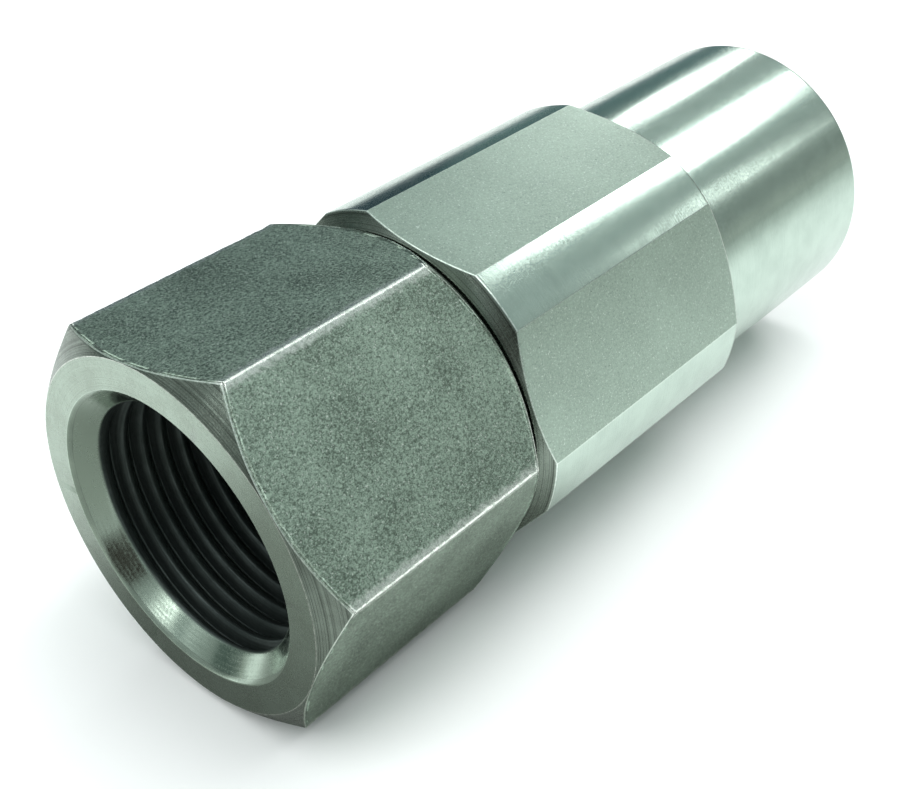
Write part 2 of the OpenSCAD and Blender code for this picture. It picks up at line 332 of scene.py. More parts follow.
class Surface:
    """A procedural material under construction. Lengths in its textures are in millimetres."""

    def __init__(self, name):
        self.material = bpy.data.materials.new(name)
        self.material.use_nodes = True
        self.tree = self.material.node_tree
        self.tree.nodes.clear()
        output = self.node("ShaderNodeOutputMaterial")
        self.shader = self.node("ShaderNodeBsdfPrincipled")
        self.tree.links.new(self.shader.outputs[0], output.inputs["Surface"])
        place = self.node("ShaderNodeTexCoord").outputs["Object"]
        in_mm = {0: place, "Scale": 1 / MM}
        self.place = self.node("ShaderNodeVectorMath", in_mm, operation="SCALE").outputs[0]
        self.along, beside, self.height = self.node("ShaderNodeSeparateXYZ", {0: self.place}).outputs
        squares = self.math("MULTIPLY", beside, beside), self.math("MULTIPLY", self.height, self.height)
        self.radius = self.math("SQRT", self.math("ADD", *squares))

    def node(self, kind, inputs=None, **settings):
        node = self.tree.nodes.new(kind)
        for key, value in settings.items():
            setattr(node, key, value)
        for key, value in (inputs or {}).items():
            if isinstance(value, bpy.types.NodeSocket):
                self.tree.links.new(value, node.inputs[key])
            else:
                node.inputs[key].default_value = value
        return node

    def math(self, operation, first, second=0.0, third=0.0):
        return self.node("ShaderNodeMath", {0: first, 1: second, 2: third}, operation=operation).outputs[0]

    def stretched(self, x, y, z):
        """The place, scaled along each axis."""
        inputs = {0: self.place, 1: (x, y, z)}
        return self.node("ShaderNodeVectorMath", inputs, operation="MULTIPLY").outputs[0]

    def grain(self, per_mm, detail=2.0, roughness=0.5, at=None):
        """Noise from 0 to 1 with that many features to a millimetre."""
        inputs = {"Vector": at or self.place, "Scale": per_mm, "Detail": detail, "Roughness": roughness}
        return self.node("ShaderNodeTexNoise", inputs).outputs["Fac"]

    def turning(self, per_mm, detail=3.0):
        """Noise that runs in rings round the flow axis, as a lathe tool leaves it, with a little wander. The
        weights of radius and length differ, so that rings show on a 45 degree cone too."""
        wander = self.math("MULTIPLY", self.grain(0.25, 1.0), 0.03)
        across = self.math("ADD", self.math("MULTIPLY", self.radius, 1.3), wander)
        travel = self.math("ADD", across, self.math("MULTIPLY", self.along, 0.8))
        inputs = {"W": travel, "Scale": per_mm, "Detail": detail, "Roughness": 0.6}
        return self.node("ShaderNodeTexNoise", inputs, noise_dimensions="1D").outputs["Fac"]

    def spread(self, value, low, high, to_low=0.0, to_high=1.0):
        """The value's range from low to high, mapped smoothly to another range."""
        inputs = {"Value": value, "From Min": low, "From Max": high, "To Min": to_low, "To Max": to_high}
        return self.node("ShaderNodeMapRange", inputs, interpolation_type="SMOOTHSTEP").outputs[0]

    def blend(self, part, first, second):
        node = self.node("ShaderNodeMix", data_type="RGBA")
        for socket, value in ((node.inputs[0], part), (node.inputs[6], first), (node.inputs[7], second)):
            if isinstance(value, bpy.types.NodeSocket):
                self.tree.links.new(value, socket)
            else:
                socket.default_value = value if isinstance(value, float) else (*value, 1.0)
        return node.outputs[2]

    def wear(self):
        return self.node("ShaderNodeAttribute", attribute_name="wear").outputs["Fac"]

    def finish(self, colour, roughness, heights, metallic=1.0):
        """Joins it up. heights is a list of (height, depth in mm) for the bumps, laid one on another."""
        normal = None
        for height, depth in heights:
            inputs = {"Height": height, "Distance": depth * MM, "Strength": 1.0}
            if normal:
                inputs["Normal"] = normal
            normal = self.node("ShaderNodeBump", inputs).outputs[0]
        values = {"Base Color": colour, "Roughness": roughness, "Metallic": metallic, "Normal": normal}
        for key, value in values.items():
            if isinstance(value, bpy.types.NodeSocket):
                self.tree.links.new(value, self.shader.inputs[key])
            elif value is not None:
                self.shader.inputs[key].default_value = value
        return self.material


def blasted_steel(name, dark, light, bright, coarse, rough, depth, corner_r=None):
    """Matt bar stock with a mottled, pitted skin and bright specks, worn bright along its edges."""
    s = Surface(name)
    coarse_grain = s.grain(coarse, 3.0, 0.65)
    fine_grain = s.grain(coarse * 2.3, 2.0, 0.6, s.stretched(0.7, 1, 1))
    skin = s.math("ADD", s.math("MULTIPLY", coarse_grain, 0.5), s.math("MULTIPLY", fine_grain, 0.5))
    clouds = s.grain(0.16, 2.0)
    tone = s.math("ADD", skin, s.math("MULTIPLY", s.math("SUBTRACT", clouds, 0.5), 0.2))
    colour = s.blend(s.spread(tone, 0.34, 0.66), dark, light)
    speck = s.spread(s.grain(coarse * 1.7, 1.0, 0.5, s.stretched(1, 0.8, 0.9)), 0.62, 0.74)
    colour = s.blend(s.math("MULTIPLY", speck, 0.6), colour, bright)
    worn = s.wear()
    if corner_r:
        ragged = s.math("MULTIPLY", s.math("SUBTRACT", s.grain(1.6, 4.0, 0.75), 0.5), 0.9)
        near = s.spread(s.math("ADD", s.radius, ragged), corner_r - 0.46, corner_r - 0.1)
        worn = s.math("MAXIMUM", worn, near)
    worn = s.math("MULTIPLY", worn, s.spread(s.grain(2.6, 3.0, 0.7), 0.3, 0.56, 0.35, 1.0))
    colour = s.blend(worn, colour, bright)
    roughness = s.spread(skin, 0.3, 0.7, rough - 0.07, rough + 0.08)
    roughness = s.math("SUBTRACT", roughness, s.math("MULTIPLY", worn, rough * 0.3))
    return s.finish(colour, roughness, [(coarse_grain, depth), (fine_grain, depth * 0.6)])


def turned_steel(name, dark, light, bright, rough, depth, per_mm=7.0, lines=0.0, shaded_foot_brightness=1.0, mouth=None):
    """Lathe-turned steel: fine rings round the axis, a few deeper ones, and faint smudges. lines is how dark
    the deepest rings are, and shaded_foot_brightness how bright the bottom stays under painted shade. mouth
    is a colour and a roughness for the cones at both ends of the valve."""
    s = Surface(name)
    rings = s.turning(per_mm)
    broad = s.turning(per_mm * 0.22, 1.0)
    smudge = s.grain(0.35, 3.0, 0.6)
    tone = s.math("ADD", s.math("MULTIPLY", rings, 0.45), s.math("MULTIPLY", smudge, 0.55))
    colour = s.blend(s.spread(tone, 0.35, 0.65), dark, light)
    groove = s.spread(s.math("ABSOLUTE", s.math("SUBTRACT", broad, 0.52)), 0.0, 0.03, lines, 0.0)
    # Painted shade: the colour darkens towards the bottom, from 9 mm above the flow axis to 17 mm below it,
    # and the deepest rings darken it too
    grooves_and_painted_shade = s.math("MAXIMUM", groove, s.spread(s.height, -17.0, 9.0, 1.0 - shaded_foot_brightness, 0.0))
    colour = s.blend(grooves_and_painted_shade, colour, (0.02, 0.025, 0.02))
    dust = s.spread(s.grain(4.5, 2.0, 0.6), 0.3, 0.7, -0.04, 0.05)
    worn = s.math("MULTIPLY", s.wear(), s.spread(s.grain(2.2, 2.0), 0.3, 0.6, 0.3, 1.0))
    colour = s.blend(worn, colour, bright)
    roughness = s.math("ADD", s.spread(tone, 0.3, 0.7, rough * 1.15, rough * 0.85), dust)
    if mouth:
        cone_starts = OVERALL / 2 - MOUTH_R + PORT_MINOR_R
        at_mouth = s.spread(s.math("ABSOLUTE", s.along), cone_starts, cone_starts + 0.25)
        colour = s.blend(at_mouth, colour, mouth[0])
        roughness = s.math("SUBTRACT", roughness, s.math("MULTIPLY", at_mouth, rough - mouth[1]))
    bumps = [(rings, depth), (broad, depth * 1.5), (s.grain(5.0, 2.0), depth * 0.35)]
    return s.finish(colour, roughness, bumps)


def rubber(name):
    s = Surface(name)
    skin = s.grain(3.0, 3.0)
    colour = s.blend(s.grain(0.5, 2.0), (0.016, 0.016, 0.018), (0.034, 0.034, 0.036))
    roughness = s.spread(skin, 0.3, 0.7, 0.42, 0.58)
    return s.finish(colour, roughness, [(skin, 0.01)], metallic=0.0)


def polymer(name, dark, light, rough):
    """Machined plastic: waxy, with faint tool rings."""
    s = Surface(name)
    rings = s.turning(5.0)
    colour = s.blend(s.spread(s.grain(0.6, 3.0), 0.35, 0.65), dark, light)
    roughness = s.spread(rings, 0.3, 0.7, rough - 0.06, rough + 0.08)
    return s.finish(colour, roughness, [(rings, 0.004), (s.grain(4.0, 2.0), 0.003)], metallic=0.0)


LOOKS = {
    "cap_flat": blasted_steel("cap_flat", (0.155, 0.20, 0.16), (0.50, 0.63, 0.52), (0.90, 0.95, 0.88),
                              3.6, 0.39, 0.02, CAP_HALF_AF / math.cos(TWELFTH)),
    "body_flat": blasted_steel("body_flat", (0.31, 0.385, 0.33), (0.43, 0.54, 0.46), (0.80, 0.88, 0.81),
                               4.2, 0.34, 0.008),
    # The face has painted shade towards its bottom
    "face": turned_steel("face", (0.31, 0.37, 0.31), (0.37, 0.45, 0.38), (0.82, 0.85, 0.80),
                         0.26, 0.003, lines=0.1, shaded_foot_brightness=0.6),
    "chamfer": turned_steel("chamfer", (0.18, 0.21, 0.18), (0.26, 0.31, 0.265), (0.92, 0.94, 0.88),
                            0.25, 0.012, 5.0, lines=0.6),
    "polished": turned_steel("polished", (0.43, 0.53, 0.465), (0.50, 0.61, 0.535), (0.85, 0.9, 0.85),
                             0.19, 0.0012, 9.0),
    "mouth": turned_steel("mouth", (0.38, 0.46, 0.39), (0.50, 0.60, 0.51), (0.80, 0.82, 0.78),
                          0.2, 0.004, 6.0, lines=0.3),
    # The thread's near-black colours are painted shade for the inside of the ports; the mouth cones keep a
    # lighter colour
    "thread": turned_steel("thread", (0.07, 0.085, 0.08), (0.11, 0.13, 0.125), (0.15, 0.17, 0.165),
                           0.5, 0.004, mouth=((0.42, 0.51, 0.43), 0.2)),
    "turned": turned_steel("turned", (0.40, 0.48, 0.42), (0.50, 0.60, 0.53), (0.82, 0.85, 0.82), 0.28, 0.003),
    "ground": turned_steel("ground", (0.48, 0.56, 0.50), (0.58, 0.67, 0.60), (0.85, 0.87, 0.85),
                           0.2, 0.0012, 12.0),
    "spring_wire": turned_steel("spring_wire", (0.38, 0.42, 0.41), (0.52, 0.57, 0.56), (0.7, 0.7, 0.7),
                                0.26, 0.002),
    "dull_steel": turned_steel("dull_steel", (0.21, 0.23, 0.23), (0.33, 0.36, 0.355), (0.6, 0.6, 0.62),
                               0.36, 0.004),
    "rubber": rubber("rubber"),
    "ptfe": polymer("ptfe", (0.74, 0.74, 0.70), (0.86, 0.86, 0.82), 0.42),
    "peek": polymer("peek", (0.50, 0.41, 0.26), (0.62, 0.53, 0.36), 0.38),
}


def looks(*names):
    return {n: LOOKS[n] for n in names}


# ---------------------------------------------------------------- cap and body

def rounded_corner(half_af, away, rounding):
    """Radius of a hexagon's side at an angle away from its nearest corner, with that corner rounded."""
    away = np.abs(away)
    flat = half_af / np.cos(TWELFTH - away)
    centre = (half_af - rounding) / math.cos(TWELFTH)
    reach = np.arctan2(rounding * 0.5, centre + rounding * math.cos(TWELFTH))
    inside = np.maximum(rounding**2 - (centre * np.sin(away))**2, 0)
    return np.where(away < reach, centre * np.cos(away) + np.sqrt(inside), flat)


def from_corner(angles, first):
    """Angle from each column to the nearest of six corners."""
    return (angles - math.radians(first) + TWELFTH) % SIXTH - TWELFTH


def port_radius(face, inward):
    """Radius of a threaded port with its 45 degree mouth. inward is +1 if the port goes in along +X, else
    -1."""
    def radius(u, phase):
        depth = (u - face) * inward
        fade = smooth_step((PORT_THREAD_END - depth) / PITCH)
        fade = fade * smooth_step((depth - MOUTH_R + PORT_MINOR_R + 0.1) / 1.1)
        return np.maximum(PORT_MINOR_R + thread_height(phase, PORT_THREAD_DEPTH) * fade, MOUTH_R - depth)
    return radius


def joint_radius(gap, root_r, starts, ends, entry_r=0.0):
    """Radius of the joint's thread, which fades to root_r at both ends. entry_r is for a cone into the
    body."""
    def radius(u, phase):
        full = JOINT_MINOR_R + gap + thread_height(phase, JOINT_DEPTH) - root_r
        fade = smooth_step((u - starts) / PITCH * 2) * smooth_step((ends - u) / PITCH * 2)
        return np.maximum(root_r + full * fade, entry_r - (u - BODY_START))
    return radius


def worn_rounding(corner, u):
    """How far a cap corner is rounded over at a station: little in front, more, and uneven, towards the
    seam."""
    seam_side = smooth_step(u / CAP_END)
    broad = noise.noise(Vector((u * 0.45, corner * 7.3, 1.7)))
    ragged = noise.noise(Vector((u * 1.9, corner * 7.3, 9.1)))
    return CORNER_ROUND + 0.1 * seam_side + abs(broad) * (0.15 + 0.25 * seam_side) + abs(ragged) * 0.35


def inlet_cap():
    offsets = [0, 0.15, 0.3, 0.45, 0.65, 1, 1.7, 3, 5, 7.5, 10, 12.5, 15, 17.5, 20, 22.5, 25, 27.5, 30]
    p = Profile(around_corners(CAP_ROLL, offsets))
    away = from_corner(p.angles, CAP_ROLL)
    corner = np.round((p.angles - away - math.radians(CAP_ROLL)) / SIXTH) % 6
    side = rounded_corner(CAP_HALF_AF, away, CORNER_ROUND)
    side_u = (side - CAP_FACE_R) * FRONT_SLOPE
    side_end_u = CAP_END - (side - CAP_REAR_R) * CAP_REAR_SLOPE
    p.chain([
        (MOUTH_R + FINE, 0.0, 0, 1, "face"),
        (CAP_FACE_R, 0.0, FINE, 1, "chamfer"),
        (side, side_u, EDGE, 1, "cap_flat"),
        (side, side_u + 1.0, 0, 1, "cap_flat"),
    ], last=False)
    for k in range(SIDE_ROWS + 1):
        u = side_u + (side_end_u - side_u) * (0.006 + 0.988 * k / SIDE_ROWS)
        worn = np.array([worn_rounding(c, at) for c, at in zip(corner, u)])
        eased = CORNER_ROUND + (worn - CORNER_ROUND) * smooth_step(min(k, SIDE_ROWS - k) / 4)
        p.add(rounded_corner(CAP_HALF_AF, away, eased), u, "cap_flat")
    p.chain([
        (side, side_end_u - 1.0, 0, 1, "cap_flat"),
        (side, side_end_u, EDGE, 1, "chamfer"),
        (CAP_REAR_R, CAP_END, FINE, 1, "face"),
        (NECK_R, CAP_END, WIDE, 1, "turned"),
        (NECK_R, JOINT_START - 0.6, 0, 1, "turned"),
    ], first=False)
    p.thread(joint_radius(0, NECK_R, JOINT_START, JOINT_END), JOINT_START - 0.4, JOINT_END + 0.1,
             JOINT_DEPTH, "turned", True, JOINT_START)
    p.chain([
        (NECK_R, JOINT_END + 0.15, 0, 1, "turned"),
        (NOSE_R, JOINT_END + 0.3, FINE, 1, "ground"),
        (NOSE_R, CAP_GROOVE[0], EDGE, 1, "turned"),
        (GROOVE_R, CAP_GROOVE[0], EDGE, 1, "turned"),
        (GROOVE_R, CAP_GROOVE[1], EDGE, 1, "turned"),
        (NOSE_R, CAP_GROOVE[1], EDGE, 1, "ground"),
        (NOSE_R, NOSE_END - 0.4, EDGE, 1, "ground"),
        (NOSE_R - 0.4, NOSE_END, EDGE, 1, "ground"),
        (FLOW_R, NOSE_END, EDGE, 4, "turned"),
        (FLOW_R, PORT_DEPTH + (PORT_MINOR_R - FLOW_R) * DRILL_SLOPE, WIDE, 1, "turned"),
        (PORT_MINOR_R, PORT_DEPTH, EDGE, 1, "turned"),
        (PORT_MINOR_R, PORT_DEPTH - HELIX_MARGIN, 0, 1, "thread"),
    ])
    p.thread(port_radius(0.0, 1), MOUTH_STEP, PORT_DEPTH - HELIX_MARGIN, PORT_THREAD_DEPTH, "thread", False)
    p.chain([(MOUTH_R - MOUTH_STEP, MOUTH_STEP, 0, 1, "mouth"), (MOUTH_R - FINE, FINE, 0, 1, "mouth")])
    used = looks("face", "chamfer", "cap_flat", "turned", "ground", "thread", "mouth")
    return stands_for(p.piece("inlet_cap_shown", used), "inlet_cap", "housing")


def body():
    near_arc = [ARC_HALF - 0.25, ARC_HALF, ARC_HALF + 0.25]
    offsets = [0, 2.3, 4.6, 6.8, 8.5, *near_arc, 10.4, 12.5, 15, 17.5, 20, 22.5, 25, 27.5, 30]
    p = Profile(around_corners(BODY_ROLL, offsets))
    away = np.abs(from_corner(p.angles, BODY_ROLL))
    side = np.minimum(BODY_HALF_AF / np.cos(TWELFTH - away), BODY_CORNER_R)
    side_u = BODY_START + (side - BODY_FRONT_R) * FRONT_SLOPE
    side_end_u = SHOULDER - (side - BODY_REAR_R) * BODY_REAR_SLOPE
    p.column_wear["body_flat"] = np.where(np.abs(away - math.radians(ARC_HALF)) < 0.001, 0.7, 0.0)
    p.chain([
        (ENTRY_R + FINE, BODY_START, 0, 1, "face"),
        (BODY_FRONT_R, BODY_START, FINE, 1, "chamfer"),
        (side, side_u, EDGE, 12, "body_flat"),
        (side, side_end_u, EDGE, 1, "chamfer"),
        (BODY_REAR_R, SHOULDER, FINE, 1, "turned"),
        (TAIL_R, SHOULDER, EDGE, 12, "polished"),
        (TAIL_R, OVERALL - TAIL_RIM, EDGE, 1, "polished"),
        (TAIL_R - TAIL_RIM, OVERALL, EDGE, 1, "face"),
        (MOUTH_R - FINE, OVERALL, EDGE, 1, "mouth"),
        (MOUTH_R - MOUTH_STEP, OVERALL - MOUTH_STEP, 0, 1, "mouth"),
    ])
    p.thread(port_radius(OVERALL, -1), PORT_FLOOR + HELIX_MARGIN, OVERALL - MOUTH_STEP, PORT_THREAD_DEPTH,
             "thread", False)
    p.chain([
        (PORT_MINOR_R, PORT_FLOOR + HELIX_MARGIN, 0, 1, "turned"),
        (PORT_MINOR_R, PORT_FLOOR, EDGE, 1, "turned"),
        (LAND_R, PORT_FLOOR - (PORT_MINOR_R - LAND_R) * DRILL_SLOPE, EDGE, 1, "turned"),
        (LAND_R, LAND_U, EDGE, 1, "turned"),
        (CAVITY_R, LAND_U, EDGE, 4, "turned"),
        (CAVITY_R, SEAT_END + REST_GAP, EDGE, 1, "turned"),
        (PILOT_R, SEAT_END + REST_GAP, EDGE, 2, "ground"),
        (PILOT_R, JOINT_END + 0.4, EDGE, 1, "turned"),
        (JOINT_MINOR_R + JOINT_GAP, JOINT_END + 0.2, 0, 1, "turned"),
    ])
    root_r = JOINT_MINOR_R + JOINT_GAP
    p.thread(joint_radius(JOINT_GAP, root_r, JOINT_START - 0.6, JOINT_END + 0.05, ENTRY_R), BODY_START + FINE,
             JOINT_END + 0.1, JOINT_DEPTH, "turned", False, JOINT_START)
    used = looks("face", "chamfer", "body_flat", "polished", "turned", "ground", "thread", "mouth")
    middle = np.abs(from_corner((p.angles + np.roll(p.angles, -1)) / 2, BODY_ROLL))
    middle[-1] = TWELFTH
    on_arc = middle < math.radians(ARC_HALF)
    shown = p.piece("body_shown", used, {"body_flat": (on_arc, "polished")})
    return stands_for(shown, "body", "housing")


# ---------------------------------------------------------------- what is inside

def turned_piece(name, corners, node, body_name, columns=96):
    """A turned piece from (radius, u, bevel, steps, look) corners, going round its half section."""
    p = Profile(evenly(columns))
    p.chain([*corners, corners[0]], last=False)
    return stands_for(p.piece(name, looks(*dict.fromkeys(c[4] for c in corners))), node, body_name)


def turned_within(node):
    """Where a node starts and ends along the valve."""
    lowest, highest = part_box(node)
    return station(lowest.x), station(highest.x)


def seat_ring():
    u, end_u = turned_within("seat_ring")
    outer_r = PILOT_R - 0.07
    groove = (u + 0.9, u + 3.05)
    turned_piece("seat_ring_shown", [
        (FLOW_R, u, 0, 1, "ground"),
        (outer_r - 0.3, u, FINE, 1, "ground"),
        (outer_r, u + 0.3, FINE, 1, "ground"),
        (outer_r, groove[0], FINE, 1, "turned"),
        (GROOVE_R, groove[0], EDGE, 1, "turned"),
        (GROOVE_R, groove[1], EDGE, 1, "turned"),
        (outer_r, groove[1], FINE, 1, "ground"),
        (outer_r, end_u, EDGE, 1, "ground"),
        (SEAT_R + SEAT_CONE, end_u, FINE, 1, "ground"),
        (SEAT_R, end_u - SEAT_CONE, EDGE, 2, "ground"),
        (SEAT_R, u, EDGE, 1, "ground"),
    ], "seat_ring", "housing")


def poppet():
    u, end_u = turned_within("poppet")
    disc_u = turned_within("poppet_seal")[0] + SEAL_LENGTH
    disc_end_u = disc_u + 2.6
    boss_end_u = turned_within("spring_guide")[0] - LIFT - 0.1
    disc_r, hub_r, tapped_r = 10.8, 5.0, 2.02
    turned_piece("poppet_shown", [
        (0.0, u + 8.6, 0, 1, "turned"),
        (tapped_r, u + 7.95, EDGE, 2, "turned"),
        (tapped_r, u, EDGE, 1, "turned"),
        (hub_r, u, EDGE, 1, "turned"),
        (hub_r, disc_u, EDGE, 1, "turned"),
        (disc_r, disc_u, EDGE, 1, "turned"),
        (disc_r, disc_u + 1.3, EDGE, 1, "turned"),
        (RETAINER_R, disc_end_u, EDGE, 1, "turned"),
        (hub_r, disc_end_u, WIDE, 3, "turned"),
        (hub_r, boss_end_u - 0.3, EDGE, 1, "turned"),
        (hub_r - 0.3, boss_end_u, EDGE, 1, "turned"),
        (STEM_R, boss_end_u, EDGE, 4, "ground"),
        (STEM_R, end_u - 0.5, EDGE, 1, "ground"),
        (STEM_R - 0.5, end_u, EDGE, 1, "turned"),
        (0.0, end_u, 0, 1, "turned"),
    ], "poppet", "poppet_assembly")


def poppet_seal():
    u, end_u = turned_within("poppet_seal")
    front_r = SEAT_R - 0.07 - (SEAT_END - SEAT_CONE - u)
    rear_r = front_r + 1.95
    bore_r = 5.02
    turned_piece("poppet_seal_shown", [
        (bore_r, u, FINE, 1, "peek"),
        (front_r, u, EDGE, 2, "peek"),
        (rear_r, end_u - 0.05, 0, 1, "peek"),
        (rear_r, end_u, 0, 1, "peek"),
        (bore_r, end_u, FINE, 1, "peek"),
    ], "poppet_seal", "poppet_assembly")


def seal_retainer():
    u, end_u = turned_within("seal_retainer")
    recess_r, recess_end_u = 3.7, u + 2.4
    turned_piece("seal_retainer_shown", [
        (SCREW_BORE_R, recess_end_u, FINE, 1, "turned"),
        (recess_r, recess_end_u, EDGE, 1, "turned"),
        (recess_r, u, WIDE, 1, "turned"),
        (5.6, u, WIDE, 3, "turned"),
        (RETAINER_R, end_u - 1.2, WIDE, 1, "turned"),
        (RETAINER_R, end_u, EDGE, 1, "turned"),
        (SCREW_BORE_R, end_u, FINE, 1, "turned"),
    ], "seal_retainer", "poppet_assembly")


def spring_shim():
    u, end_u = turned_within("spring_shim")
    inner_r, outer_r = 5.3, 8.0
    turned_piece("spring_shim_shown", [
        (inner_r, u, EDGE, 1, "dull_steel"),
        (outer_r, u, EDGE, 1, "dull_steel"),
        (outer_r, end_u, EDGE, 1, "dull_steel"),
        (inner_r, end_u, EDGE, 1, "dull_steel"),
    ], "spring_shim", "housing")


def guide_bush():
    u, end_u = turned_within("guide_bush")
    inner_r, outer_r = STEM_R + 0.04, 3.99
    turned_piece("guide_bush_shown", [
        (inner_r, u, WIDE, 1, "ptfe"),
        (outer_r, u, WIDE, 1, "ptfe"),
        (outer_r, end_u, WIDE, 1, "ptfe"),
        (inner_r, end_u, WIDE, 2, "ptfe"),
    ], "guide_bush", "housing", 72)


def o_ring(node):
    """A round section squeezed flat between two cylinders."""
    u, end_u = turned_within(node)
    depth = PILOT_R - GROOVE_R
    half = (end_u - u) / 2 - 0.005
    squeezed = depth / 2 - 0.03
    sides = 28
    p = Profile(evenly(120))
    for k in range(sides):
        angle = 2 * math.pi * k / sides
        across = np.clip(half * math.cos(angle), -squeezed, squeezed)
        p.add(GROOVE_R + depth / 2 + across, (u + end_u) / 2 - half * math.sin(angle), "rubber")
    p.rows.reverse()
    stands_for(p.piece(node + "_shown", looks("rubber")), node, "housing")


def split_ring(node, inner_r, outer_r, slit, body_name, look):
    """A flat ring with a slanting slit on its +Y side."""
    u, end_u = turned_within(node)
    section = [(inner_r + FINE, u), (outer_r - FINE, u), (outer_r, u + FINE), (outer_r, end_u - FINE),
               (outer_r - FINE, end_u), (inner_r + FINE, end_u), (inner_r, end_u - FINE), (inner_r, u + FINE)]
    sides, columns = len(section), 97
    places, faces = [], []
    for c in range(columns):
        part = c / (columns - 1)
        for r, at in section:
            half_slit = slit / 2 / math.cos(SLIT_SLANT) / r
            slant = -math.tan(SLIT_SLANT) * (at - (u + end_u) / 2) / r
            angle = math.pi / 2 + slant + half_slit + part * (2 * math.pi - 2 * half_slit)
            places.append((at * MM + cad_lo.x, r * MM * math.sin(angle), -r * MM * math.cos(angle)))
    for c in range(columns - 1):
        for k in range(sides):
            j = (k + 1) % sides
            faces.append((c * sides + k, (c + 1) * sides + k, (c + 1) * sides + j, c * sides + j))
    faces.append(tuple(range(sides)))
    faces.append(tuple(range(columns * sides - 1, (columns - 1) * sides - 1, -1)))
    shown = mesh_piece(node + "_shown", places, faces, [0] * len(faces), [LOOKS[look]])
    stands_for(shown, node, body_name)


def retainer_screw():
    u, end_u = turned_within("retainer_screw")
    head_end_u = u + 1.6
    thread_u = u + 2.45
    p = Profile(evenly(72))
    socket = 1.25 / np.cos((p.angles + TWELFTH) % SIXTH - TWELFTH)
    p.chain([
        (0.0, u + 1.2, 0, 1, "dull_steel"),
        (socket, u + 1.0, FINE, 1, "dull_steel"),
        (socket, u, EDGE, 2, "dull_steel"),
        (SCREW_HEAD_R - 0.3, u, EDGE, 1, "dull_steel"),
        (SCREW_HEAD_R, u + 0.3, EDGE, 2, "dull_steel"),
        (SCREW_HEAD_R, head_end_u, EDGE, 1, "dull_steel"),
        (SCREW_ROOT_R, head_end_u, FINE, 1, "dull_steel"),
        (SCREW_ROOT_R, thread_u - 0.05, 0, 1, "dull_steel"),
    ])

    def radius(at, phase):
        ends = smooth_step((at - thread_u + 0.15) / 0.7) * smooth_step((end_u - at) / 0.9)
        return SCREW_ROOT_R + thread_height(phase, SCREW_DEPTH, SCREW_PITCH) * ends
    p.thread(radius, thread_u, end_u - 0.3, SCREW_DEPTH, "dull_steel", True, 0.0, SCREW_PITCH)
    p.chain([
        (1.5, end_u - 0.1, 0, 1, "dull_steel"),
        (1.3, end_u, 0, 1, "dull_steel"),
        (0.0, end_u, 0, 1, "dull_steel"),
    ])
    shown = p.piece("retainer_screw_shown", looks("dull_steel"))
    stands_for(shown, "retainer_screw", "poppet_assembly")


def spring():
    """A coil of round wire with closed end turns ground flat, given a mesh of its own."""
    u, end_u = turned_within("spring")
    turns, mean_r, wire_r = 5, 7.0, 0.495
    per_turn, sides = 40, 18
    rings = turns * per_turn
    stations = np.interp(np.arange(rings + 1) / per_turn, [0, 1, turns - 1, turns],
                         [u + 0.25, u + 1.5, end_u - 1.5, end_u - 0.25])
    places, faces = [], []
    for i, centre in enumerate(stations):
        turn = 2 * math.pi * i / per_turn
        for k in range(sides):
            around = 2 * math.pi * k / sides
            r = (mean_r + wire_r * math.cos(around)) * MM
            at = min(max(centre + wire_r * math.sin(around), u), end_u)
            places.append((at * MM + cad_lo.x, r * math.sin(turn), -r * math.cos(turn)))
    for i in range(rings):
        for k in range(sides):
            j = (k + 1) % sides
            faces.append((i * sides + k, (i + 1) * sides + k, (i + 1) * sides + j, i * sides + j))
    faces.append(tuple(range(sides)))
    faces.append(tuple(range((rings + 1) * sides - 1, rings * sides - 1, -1)))
    shown = mesh_piece("spring_shown", places, faces, [0] * len(faces), [LOOKS["spring_wire"]])
    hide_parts("spring")
    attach(shown, "housing")
    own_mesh(shown)


def spring_guide():
    """The guide keeps its mesh from the frame, with its edges broken."""
    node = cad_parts["spring_guide"]
    bevel = node.modifiers.new("Broken edges", "BEVEL")
    bevel.width = EDGE * MM
    bevel.segments = 2
    bevel.limit_method = "ANGLE"
    bevel.angle_limit = math.radians(35)
    bevel.harden_normals = False
    for place in node.material_slots:
        place.material = LOOKS["turned"]


inlet_cap()
body()
seat_ring()
poppet()
poppet_seal()
seal_retainer()
retainer_screw()
spring_shim()
guide_bush()
spring_guide()
spring()
for ring in ("cap_o_ring", "seat_o_ring"):
    o_ring(ring)
split_ring("backup_ring", GROOVE_R + 0.02, PILOT_R - 0.02, 0.25, "housing", "ptfe")
split_ring("lock_washer", SCREW_BORE_R, SCREW_HEAD_R, 0.7, "poppet_assembly", "dull_steel")


# ---------------------------------------------------------------- floor, light and camera

# The mirrored floor gets dimmer out of view, a painted shade in the steel's reflections: towards an azimuth,
# between two distances in millimetres, to a colour
PAINTED_FLOOR_FADES = [(41, 75.0, 260.0, (0.50, 0.52, 0.50)), (-55, 52.0, 110.0, (0.42, 0.43, 0.42))]

# The mirrored floor has a painted shadow near the cap, where the valve shades the floor: it is dark there,
# and gets pale between these distances from the flow axis, or these places along it
PAINTED_SHADOW_BESIDE = (13.0, 38.0)
PAINTED_SHADOW_UP_TO = (-14.0, 4.0)
PAINTED_SHADOW_COLOUR = (0.33, 0.34, 0.32)

# The camera: its place and focal length in millimetres, and its turn, tilt from straight down, and roll
CAMERA_PLACE = (-91.661, -77.070, 72.310)
CAMERA_LENS = 53.085
CAMERA_ANGLES = (-46.78, 90 - 34.15, -3.3)

# The room's brightness at heights given as the sine of the elevation
ROOM_BANDS = [(0.0, (0.56, 0.60, 0.56)), (0.16, (0.31, 0.35, 0.34)), (0.34, (0.36, 0.40, 0.39)),
              (0.52, (0.48, 0.55, 0.55))]

